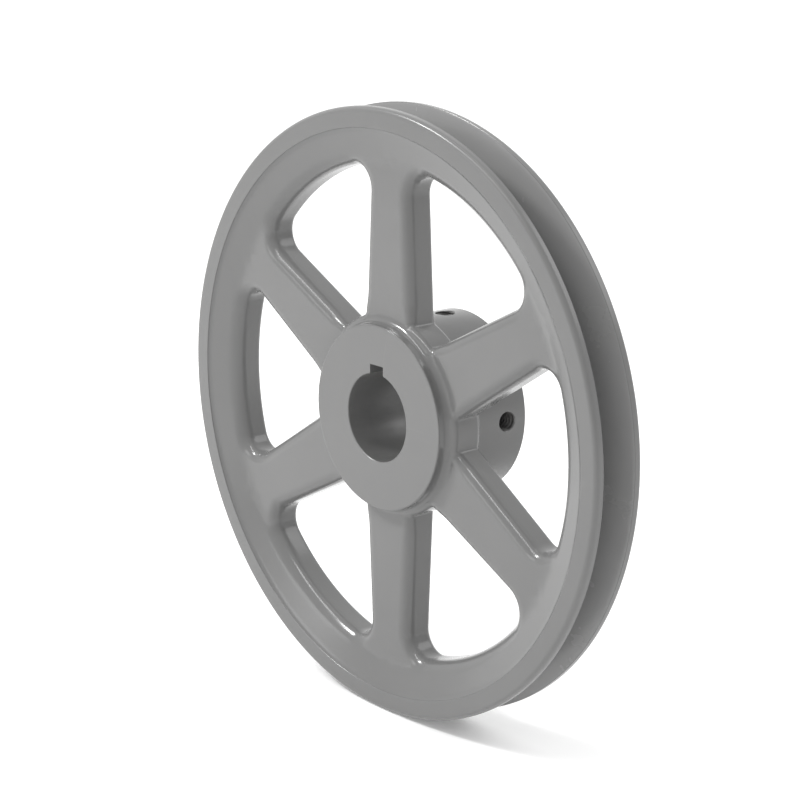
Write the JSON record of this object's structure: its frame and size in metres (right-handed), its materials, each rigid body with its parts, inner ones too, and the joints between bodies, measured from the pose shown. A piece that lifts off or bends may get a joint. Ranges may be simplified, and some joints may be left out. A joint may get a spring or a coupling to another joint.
{
  "type": "v belt pulley",
  "caption": "One-piece cast pulley with a single V groove, spoked between hub and rim, keyed shaft bore and two set screws in the long hub end.",
  "frame": {"origin": "on the shaft axis, midway across the rim", "axes": "+Y along the shaft axis from the flush face towards the long hub end, +Z towards the keyway, +X towards the side set screw"},
  "size_m": [0.1968, 0.0365, 0.1968],
  "materials": {
    "painted_casting": "semi-gloss grey paint on cast iron",
    "screw_steel": "black oxide on alloy steel"
  },
  "bodies": {
    "pulley": {"pulley_casting": "painted_casting"},
    "key_screw": {"keyway_set_screw": "screw_steel"},
    "side_screw": {"side_set_screw": "screw_steel"}
  },
  "joints": [
    {"name": "keyway_screw_travel", "type": "slide", "parent": "pulley", "child": "key_screw", "axis": [0, 0, 1], "range_m": [0, 0.00889]},
    {"name": "side_screw_travel", "type": "slide", "parent": "pulley", "child": "side_screw", "axis": [1, 0, 0], "range_m": [0, 0.01143]}
  ]
}
